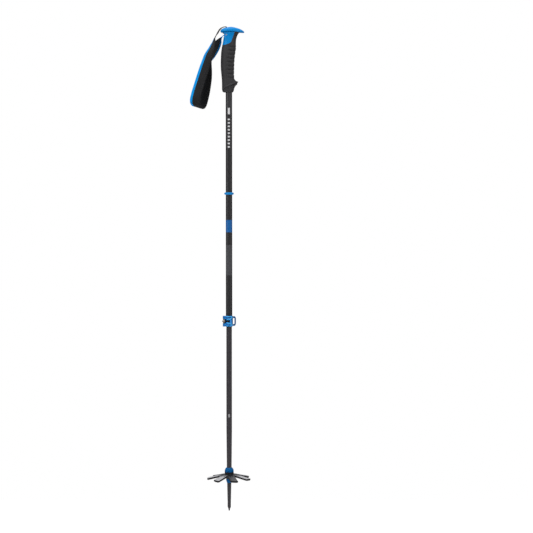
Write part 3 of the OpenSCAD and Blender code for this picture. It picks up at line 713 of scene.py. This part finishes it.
def head_mesh():
    """Mushroom-shaped head with a rear lip and a long front beak."""
    rows, sides = catmull(HEAD, 8), 72
    verts = []
    for x, low, high, half in rows:
        rim = low + 0.3 * (high - low)
        for k in range(sides):
            t = 2 * math.pi * k / sides
            s = math.sin(t)
            y = half * power(math.cos(t), 0.85)
            # A low rim, with the crown doming above it and a nearly flat underside
            z = rim + ((high - rim) * power(s, 0.85) if s > 0 else (rim - low) * power(s, 0.55))
            verts.append((x * MM, y * MM, z * MM))
    return piece("pommel_shell", verts, ring_faces(len(rows), sides), blue_plastic)


def rounded_box(name, size, at, corner):
    """Box in metres with its four upright edges rounded."""
    bm = bmesh.new()
    bmesh.ops.create_cube(bm, size=1)
    bmesh.ops.scale(bm, vec=size, verts=bm.verts)
    upright = [e for e in bm.edges if abs(e.verts[0].co.z - e.verts[1].co.z) > 1e-9]
    bmesh.ops.bevel(bm, geom=upright, offset=corner, segments=5, affect="EDGES", profile=0.5)
    bmesh.ops.translate(bm, vec=at, verts=bm.verts)
    me = bpy.data.meshes.new(name)
    bm.to_mesh(me)
    bm.free()
    ob = bpy.data.objects.new(name, me)
    bpy.context.scene.collection.objects.link(ob)
    return ob


pommel = head_mesh()
# The slot that the webbing comes up through
cut(pommel, rounded_box("cutter", (0.0042, 0.017, 0.03), (-0.0047, 0, 1.2055), 0.0016))
shade(pommel, 40)
bevel(pommel, 0.0004, 2, 40)
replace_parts(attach(pommel, "upper_section"), "pommel")

# ---- grip ----

# Each row is z, back x, front x, half depth and reach of the finger spur
GRIP = [
    (1047.5, -12.8, 9.6, 10.4, 0), (1048.4, -14.9, 10.8, 11.6, 0), (1050, -16, 11.4, 12.3, 0),
    (1053, -16.9, 12.4, 13, 0), (1057, -17.2, 12.8, 13.2, 0.6), (1062, -17.3, 13, 13.3, 2.6),
    (1067, -17.3, 13.2, 13.5, 6.6), (1072, -17.4, 13.4, 13.6, 9), (1074.5, -17.4, 13.4, 13.6, 6.8),
    (1077, -17.5, 13.3, 13.4, 3.2), (1082, -17.9, 13.2, 13.2, 0.4), (1092, -18.8, 13, 13.3, 0),
    (1106, -20, 13.2, 13.9, 0), (1120, -20.3, 13.6, 14.2, 0), (1134, -19.9, 14.7, 14.3, 0),
    (1147, -19.1, 16.2, 14, 0), (1156, -17.9, 17.6, 13.6, 0), (1164, -16.4, 17.6, 13.2, 0),
    (1173, -14.8, 17.6, 12.8, 0), (1182, -13.2, 19, 12.5, 0), (1189, -12.4, 21.5, 12.6, 0),
    (1192.4, -13.1, 23.4, 13.3, 0), (1194.2, -15, 24.9, 14.2, 0), (1195.2, -17.4, 26, 15, 0),
]
GRIP_FINE = catmull(GRIP, 8)
SQUARE_FROM = 1174
RIBS_FROM, RIBS_TO, RIB_PITCH = 1078, 1163, 9.6
HANDLE_FOOT, HANDLE_FULL, HANDLE_TOP = 1047.5, 1050, 1196.9
THROAT_FOOT, THROAT_TOP = 1160, 1195.5


def grip_at(z):
    """Back x, front x, half depth and spur of the grip at height z, in mm."""
    return [float(np.interp(z, GRIP_FINE[:, 0], GRIP_FINE[:, c])) for c in range(1, 5)]


def grip_point(z, t, extra=0.0):
    """A point of the grip's skin at height z and angle t (0 is the finger side), pushed out by extra mm."""
    back, front, half, spur = grip_at(z)
    mid, reach = (back + front) / 2, (front - back) / 2
    c, s = math.cos(t), math.sin(t)
    # The throat's back is squarer than the rest, round the opening for the strap
    roundness = 0.9 - 0.45 * max(0.0, min(1.0, (z - SQUARE_FROM) / 10)) * (c < 0)
    x = mid + (reach + extra) * power(c, roundness) + spur * max(c, 0) ** 8
    y = (half + extra) * power(s, roundness)
    return x, y


# Parting line between the hard throat and the rubber, seen from the side
PARTING = catmull([(-40, 1163), (-13.8, 1163.8), (-5.6, 1165.4), (2.1, 1168.3), (5.9, 1172.2),
                   (9.1, 1180.4), (12.3, 1188.7), (13.6, 1193.8), (14, 1198)], 6)


def rib_relief(z, t):
    """Finger ribs on the front: shallow grooves, one pitch apart, that die out towards the sides."""
    if not RIBS_FROM < z < RIBS_TO:
        return 0.0
    c = math.cos(t)
    window = max(0.0, min(1.0, (c + 0.15) / 0.35)) * (0.5 + 0.95 * (1 - c * c))
    ends = min(1.0, (z - RIBS_FROM) / 4, (RIBS_TO - z) / 4)
    phase = (z - RIBS_FROM - 4 - 1.2 * (1 - c)) / RIB_PITCH
    groove = math.exp(-(((phase - round(phase)) * RIB_PITCH) / 1.1) ** 2)
    swell = 0.2 * math.cos(2 * math.pi * phase)
    return window * ends * (-1.05 * groove - swell)


def flange_relief(z, t):
    """The flange that leans from the finger spur to the back, with a groove and a lower step under it."""
    x, _ = grip_point(z, t)
    lean = 1060.6 + (x + 4) * 0.47
    d = z - lean
    up = 1.6 * math.exp(-((d - 1.2) / 1.5) ** 2)
    down = -1.0 * math.exp(-((d + 2.4) / 0.9) ** 2)
    second = 0.7 * math.exp(-((d + 4.6) / 1.1) ** 2)
    fade = max(0.0, min(1.0, (z - 1049.5) / 4)) * max(0.12, min(1.0, (x + 17.5) / 5))
    return (up + down + second) * fade


def handle_mesh():
    """The grip's whole skin: its points, its faces and its (u, v) places."""
    sides, rows = 160, 330
    foot = np.linspace(HANDLE_FOOT, HANDLE_FULL, 12)[:-1]
    zs = np.concatenate([foot, np.linspace(HANDLE_FULL, HANDLE_TOP, rows)])
    verts, uvs = [], []
    for z in zs:
        for k in range(sides):
            t = 2 * math.pi * k / sides
            x, y = grip_point(z, t, rib_relief(z, t) + flange_relief(z, t))
            verts.append((x * MM, y * MM, z * MM))
            uvs.append((t * 0.014, z * MM))
    return verts, ring_faces(len(zs), sides), uvs


verts, faces, uvs = handle_mesh()
handle = piece("handle_rubber", verts, faces, grip_rubber, uvs=uvs)


def side_prism(name, outline, half_y=0.06):
    """Prism along Y over an outline in the XZ plane, in mm."""
    n = len(outline)
    verts = [(x * MM, y, z * MM) for y in (-half_y, half_y) for x, z in outline]
    faces = [tuple(range(n)), tuple(range(2 * n - 1, n - 1, -1))]
    faces += [(k, (k + 1) % n, n + (k + 1) % n, n + k) for k in range(n)]
    return piece(name, verts, faces, blue_plastic, smooth=False)


parting = [(float(x), float(z)) for x, z in PARTING]
above = parting + [(14.5, 1240), (-40, 1240)]
cut(handle, side_prism("cutter", above))


def round_bar(name, radius, low, high, sides=64):
    """Cylinder on the shaft's axis, in mm."""
    verts = []
    for z in (low, high):
        for k in range(sides):
            turn = 2 * math.pi * k / sides
            verts.append((radius * math.cos(turn) * MM, radius * math.sin(turn) * MM, z * MM))
    return piece(name, verts, ring_faces(2, sides), blue_plastic, smooth=False)


# The bore for the shaft, and the wider one above it for the core's sleeve
cut(handle, round_bar("cutter", 8.15, 1040, 1062))
cut(handle, round_bar("cutter", 10.25, 1055.98, 1182.02))
shade(handle, 38)
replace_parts(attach(handle, "upper_section"), "grip_handle")


def throat_mesh():
    """The hard core where it shows under the head, a hair inside the rubber's skin."""
    sides, zs = 120, np.linspace(THROAT_FOOT, THROAT_TOP, 60)
    verts = []
    for z in zs:
        for k in range(sides):
            t = 2 * math.pi * k / sides
            x, y = grip_point(min(z, GRIP[-1][0]), t, -0.12)
            verts.append((x * MM, y * MM, z * MM))
    return piece("throat_shell", verts, ring_faces(len(zs), sides), blue_plastic)


throat = throat_mesh()
GAP = 0.18
below = [(x + GAP, z + GAP) for x, z in parting if x > -40]
below += [(40, 1198), (40, 1100), (-40, 1100), (-40, 1163.2)]
cut(throat, side_prism("cutter", below))
# The opening for the strap's wedge, and the bore for the shaft
cut(throat, rounded_box("cutter", (0.032, 0.0168, 0.02), (-0.014, 0, 1.194), 0.002))
cut(throat, round_bar("cutter", 8.07, 1100, 1181))
shade(throat, 38)
bevel(throat, 0.0003, 2, 40)
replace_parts(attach(throat, "upper_section"), "grip_core")

# ---- basket ----

# REACH is measured down the slope; RAKE is how much further one corner of a petal reaches than the other
DROOP, PETAL_T = math.radians(12.5), 4.3
SLOPE_TOP, REACH, RAKE, ROOT_R = 95.2, 57.4, 3.0, 9.0
POCKET_FROM, POCKET_WALL, KEEL_HALF, POCKET_TOP = 23, 1.7, 0.9, -1.7


def hump(x, wide):
    """1 at x = 0, falling away over about wide on each side."""
    return math.exp(-((x / wide) ** 2))


def petal_half(r):
    """Half the petal's width at r along it, in mm."""
    return float(np.interp(r, [9, 14, 22, 54], [4.5, 6.5, 8.5, 9.0]))


def petal_point(r, v, h, turn):
    """The point r along a petal, v across it and h off its top, in metres."""
    x = r * math.cos(DROOP) + h * math.sin(DROOP)
    z = SLOPE_TOP - r * math.sin(DROOP) + h * math.cos(DROOP)
    return Vector((x * math.cos(turn) - v * math.sin(turn), x * math.sin(turn) + v * math.cos(turn), z)) * MM


def petal_mesh(k):
    """A petal with a rounded rim, ribs near its root and a pocket under it that leaves a lip and a keel."""
    turn = PETAL_START + 2 * math.pi * k / PETALS
    ins = [0, 0.12, 0.45, 0.9, 1.5, 1.9]
    inner = [0.7, 0.55, 0.42, 0.3, 0.18, 0.12]
    cols = [("edge", -1, d) for d in ins] + [("mid", -1, q) for q in inner] + [("mid", 1, 0)]
    cols += [("mid", 1, q) for q in reversed(inner)] + [("edge", 1, d) for d in reversed(ins)]
    steps = [s / 26 for s in range(26)]
    ends = ins[::-1]
    top, low = [], []
    for row in range(len(steps) + len(ends)):
        top_row, low_row = [], []
        for kind, side, d in cols:
            share = side if kind == "edge" else side * d
            far = REACH - RAKE * (0.5 - share / 2) - 1.5 * abs(share) ** 10
            inset = ends[row - len(steps)] if row >= len(steps) else None
            r = far - inset if inset is not None else ROOT_R + steps[row] * (far - 2.2 - ROOT_R)
            half = petal_half(r)
            v = side * (half - d) if kind == "edge" else side * half * 0.8 * d
            gap = min(half - abs(v), far - r)
            h = -0.35 * (v / 9) ** 2 - 0.5 * max(0.0, 1 - gap / 0.45) ** 2
            rib = hump(abs(v) - half * 0.42, 0.8) * max(0.0, min(1.0, (31 - r) / 4, (r - 12) / 3))
            rim = 0.3 * hump(gap - 1.3, 0.6) * min(1.0, max(0.0, (r - 14) / 4))
            h += 0.55 * rib + rim
            under = POCKET_TOP
            if gap < POCKET_WALL or abs(v) < KEEL_HALF or r < POCKET_FROM:
                under = -PETAL_T + 0.3 * max(0.0, 1 - gap / 0.45)
            top_row.append(petal_point(r, v, h, turn))
            low_row.append(petal_point(r, v, under, turn))
        top.append(top_row)
        low.append(low_row)
    rows, n = len(top), len(cols)
    verts = [v for r in top for v in r] + [v for r in low for v in r]
    base, faces = rows * n, []
    for r in range(rows - 1):
        for c in range(n - 1):
            a = r * n + c
            faces.append((a, a + 1, a + n + 1, a + n))
            faces.append((base + a, base + a + n, base + a + n + 1, base + a + 1))
    rim_loop = list(range(n)) + [r * n + n - 1 for r in range(1, rows)]
    rim_loop += [(rows - 1) * n + c for c in range(n - 2, -1, -1)]
    rim_loop += [r * n for r in range(rows - 2, 0, -1)]
    for i, a in enumerate(rim_loop):
        b = rim_loop[(i + 1) % len(rim_loop)]
        faces.append((a, b, base + b, base + a))
    return piece(f"petal_part_{k}", verts, faces, basket_black)


def lathe(name, profile, mat, sides=96):
    """A closed ring turned about the shaft's axis from a profile of (r, z), in mm."""
    verts = []
    for k in range(sides):
        turn = 2 * math.pi * k / sides
        verts += [(r * math.cos(turn) * MM, r * math.sin(turn) * MM, z * MM) for r, z in profile]
    return piece(name, verts, ring_faces(sides, len(profile), closed=True), mat)


HUB = [
    (5.02, 81.3), (5.3, 81.02), (7.9, 81.02), (8.4, 81.4), (10.8, 86), (19.9, 87.5), (20.5, 88.1),
    (20.5, 89.6), (20.1, 90.3), (12.6, 92.1), (11.7, 92.5), (11.3, 93.2), (11.3, 97.2), (10.9, 97.7),
    (5.3, 97.7), (5.02, 97.4),
]
basket = lathe("basket_shell", HUB, basket_black)
for k in range(PETALS):
    combine(basket, petal_mesh(k), "UNION")
shade(basket, 38)
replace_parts(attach(basket, "lower_section"), "basket")

# ---- lock lever's sculpted face ----

LOCK_Z, LEVER_R, LEVER_H = 477.3, 12.1, 26.5
FACE_LEFT, FACE_RIGHT = -11.2, 8.3
SLOT_HALF, SLOT_END = 2.5, 2.3
NOTCH_HALF, NOTCH_END = 5.8, -7.4
FLAT_HALF, FLAT_END, FLAT_H = 5.4, -4.5, 0.3


def lever_relief(x, z):
    """Height in mm of the lever's face at x and z from the lock's middle, its share of painted shade in the
    groove and its share of painted highlight on the ridges and edges.
    """
    a = abs(z)
    lean = (x - 3 + math.sqrt((x - 3) ** 2 + 2)) / 2
    arc = 0.012 * (x + 1) ** 2
    ridge = hump(a - (5.0 + 1.0 * lean), 1.15)
    groove = hump(a - (8.0 - arc + 1.1 * lean), 0.9) * min(1.0, max(0.0, (6 - x) / 4))
    rail = min(1.0, max(0.0, (a - 8.9 + arc) / 1.2)) * hump(max(0.0, a - 11.7), 1.5)
    # Painted highlight on the ridges beside the slot, weaker to the left, and along the top and bottom edges
    painted_highlight = ridge * min(1.0, max(0.25, (x + 5.5) / 3)) + 0.7 * hump(a - 12.2, 0.8)
    return 0.75 + 0.85 * ridge - 0.75 * groove + 0.6 * rail, groove, min(1.0, painted_highlight)


def lever_face():
    """Thin sculpted skin over the front of the lever, open at the lever's slot and at the trunnion."""
    xs = np.linspace(FACE_LEFT, FACE_RIGHT, 66)
    zs = np.linspace(-LEVER_H / 2 + 0.3, LEVER_H / 2 - 0.3, 90)
    verts, faces, grooves, highlight_shares = [], [], [], []
    for x in xs:
        turn = math.asin(max(-0.96, min(0.96, x / LEVER_R)))
        for z in zs:
            edge = min(x - FACE_LEFT, FACE_RIGHT - x, zs[-1] - abs(z))
            # The height, the share of painted shade in the groove and the share of painted highlight
            h, groove, ridge = lever_relief(x, z)
            h *= min(1.0, (edge + 0.25) / 0.9)
            grooves.append(groove)
            highlight_shares.append(ridge)
            if x < FLAT_END and abs(z) < FLAT_HALF:
                h = min(h, FLAT_H)
            r = LEVER_R + h
            verts.append((r * math.sin(turn) * MM, -r * math.cos(turn) * MM, (LOCK_Z + z) * MM))
    n = len(zs)
    for i in range(len(xs) - 1):
        for j in range(n - 1):
            x, z = (xs[i] + xs[i + 1]) / 2, (zs[j] + zs[j + 1]) / 2
            if (abs(z) < SLOT_HALF and x < SLOT_END) or (abs(z) < NOTCH_HALF and x < NOTCH_END):
                continue
            faces.append((i * n + j, (i + 1) * n + j, (i + 1) * n + j + 1, i * n + j + 1))
    ob = piece("lever_face", verts, faces, lever_metal_painted_shading())
    # The groove attribute carries painted shade and the ridge attribute painted highlight to the lever's
    # material
    for name, values in (("groove", grooves), ("ridge", highlight_shares)):
        layer = ob.data.attributes.new(name, "FLOAT", "POINT")
        layer.data.foreach_set("value", values)
    bm = bmesh.new()
    bm.from_mesh(ob.data)
    bmesh.ops.delete(bm, geom=[v for v in bm.verts if not v.link_faces], context="VERTS")
    bm.to_mesh(ob.data)
    bm.free()
    mod = ob.modifiers.new("thick", "SOLIDIFY")
    mod.thickness, mod.offset = 0.0007, -1
    apply(ob)
    return shade(ob, 50)


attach(lever_face(), "lever")

# ---- carried-over CAD nodes ----

# Each CAD node's material, and the width in metres of the bevel that softens its edges
CARRIED = {
    "strap_wedge": (black_plastic, 0.0005), "strap_pin": (steel, 0.0003),
    "upper_shaft": (upper_tube, 0), "shaft_cap": (black_plastic, 0.0004),
    "shaft_ring": (blue_plastic, 0.0005), "lock_liner": (black_plastic, 0.0002),
    "clamp_band": (blue_metal, 0.00045), "cam_saddle": (dark_steel, 0.0001),
    "lever_trunnion": (bronze, 0.0003), "lock_lever": (blue_metal, 0.00045),
    "tension_screw": (steel, 0.0003), "guide_bush": (white_plastic, 0.0003),
    "shaft_plug": (black_plastic, 0.0002), "bush_retainer": (black_plastic, 0.0002),
    "lower_shaft": (lower_tube, 0), "basket_collar": (collar_plastic, 0.0004),
    "basket_seat": (collar_plastic, 0.0003),
    "tip_ferrule": (ferrule_plastic, 0.0002), "carbide_tip": (carbide, 0.0001),
}
for node, (mat, width) in CARRIED.items():
    ob = paint(node, mat)
    if width:
        bevel(ob, width)

# ---- floor, light and camera ----

# The floor lies below the pole's tip, and its slight glow makes it as white as the world behind it
FLOOR_Z, FLOOR_HALF = -0.26, 1.5
SKY = 1.0
floor_me = bpy.data.meshes.new("studio_floor")
corners = [(x * FLOOR_HALF, y * FLOOR_HALF, FLOOR_Z) for x, y in ((-1, -1), (1, -1), (1, 1), (-1, 1))]
floor_me.from_pydata(corners, [], [(0, 1, 2, 3)])
floor = bpy.data.objects.new("studio_floor", floor_me)
bpy.context.scene.collection.objects.link(floor)
floor_mat = Mat("floor_paint", 0.9)
floor_mat.color(floor_mat.mix(floor_mat.noise(0.8, 2), (0.9, 0.9, 0.9), (0.93, 0.93, 0.93)))
floor_mat.bsdf.inputs["Emission Color"].default_value = (1, 1, 1, 1)
floor_mat.bsdf.inputs["Emission Strength"].default_value = 0.12
floor_me.materials.append(floor_mat.mat)


def studio_world():
    """White to the camera only; what lights the object is a soft sky above a dim horizon."""
    world = bpy.data.worlds.new("studio")
    world.use_nodes = True
    tree = world.node_tree
    tree.nodes.clear()
    coord = tree.nodes.new("ShaderNodeTexCoord")
    sep = tree.nodes.new("ShaderNodeSeparateXYZ")
    ramp = tree.nodes.new("ShaderNodeValToRGB")
    path = tree.nodes.new("ShaderNodeLightPath")
    mix = tree.nodes.new("ShaderNodeMix")
    back = tree.nodes.new("ShaderNodeBackground")
    out = tree.nodes.new("ShaderNodeOutputWorld")
    mix.data_type = "RGBA"
    stops = ((0.0, 0.06), (0.08, 0.1), (0.17, SKY), (0.6, SKY * 0.8), (1.0, SKY * 0.7))
    while len(ramp.color_ramp.elements) < len(stops):
        ramp.color_ramp.elements.new(0.5)
    for el, (at, value) in zip(ramp.color_ramp.elements, stops):
        el.position, el.color = at, (value, value, value, 1)
    mix.inputs[7].default_value = (1, 1, 1, 1)
    tree.links.new(coord.outputs["Generated"], sep.inputs[0])
    tree.links.new(sep.outputs["Z"], ramp.inputs["Fac"])
    tree.links.new(path.outputs["Is Camera Ray"], mix.inputs["Factor"])
    tree.links.new(ramp.outputs["Color"], mix.inputs[6])
    tree.links.new(mix.outputs[2], back.inputs["Color"])
    tree.links.new(back.outputs[0], out.inputs["Surface"])
    bpy.context.scene.world = world


studio_world()


def softbox(name, at, target, size, power_w):
    """A white rectangular light at one point that faces another."""
    data = bpy.data.lights.new(name, "AREA")
    data.shape, data.size, data.size_y = "RECTANGLE", size[0], size[1]
    data.energy = power_w
    ob = bpy.data.objects.new(name, data)
    bpy.context.scene.collection.objects.link(ob)
    ob.location = at
    ob.rotation_euler = (Vector(target) - Vector(at)).to_track_quat("-Z", "Y").to_euler()


softbox("key_left", (-2.2, -2.2, 1.3), (0, 0, 0.7), (0.5, 2.2), 30)
softbox("fill_right", (2.2, -2.2, 1.1), (0, 0, 0.6), (0.5, 2.2), 21)
softbox("top", (-0.4, -0.6, 3.4), (0, 0, 0.6), (1.6, 1.6), 42)

# A long lens from slightly above the pole's middle, with the pole left of the frame's centre
LENS_MM, SENSOR_MM, SIDEWAYS = 101.39, 36, 0.0936
EYE, LOOK = Vector((SIDEWAYS, -3.75, 0.74)), Vector((SIDEWAYS, 0, 0.6136))
cam_data = bpy.data.cameras.new("camera")
cam_data.lens, cam_data.sensor_width = LENS_MM, SENSOR_MM
cam_data.clip_end = 200
cam = bpy.data.objects.new("camera", cam_data)
bpy.context.scene.collection.objects.link(cam)
cam.location = EYE
cam.rotation_euler = (LOOK - EYE).to_track_quat("-Z", "Y").to_euler()
bpy.context.scene.camera = cam
bpy.context.scene.view_settings.view_transform = "Standard"
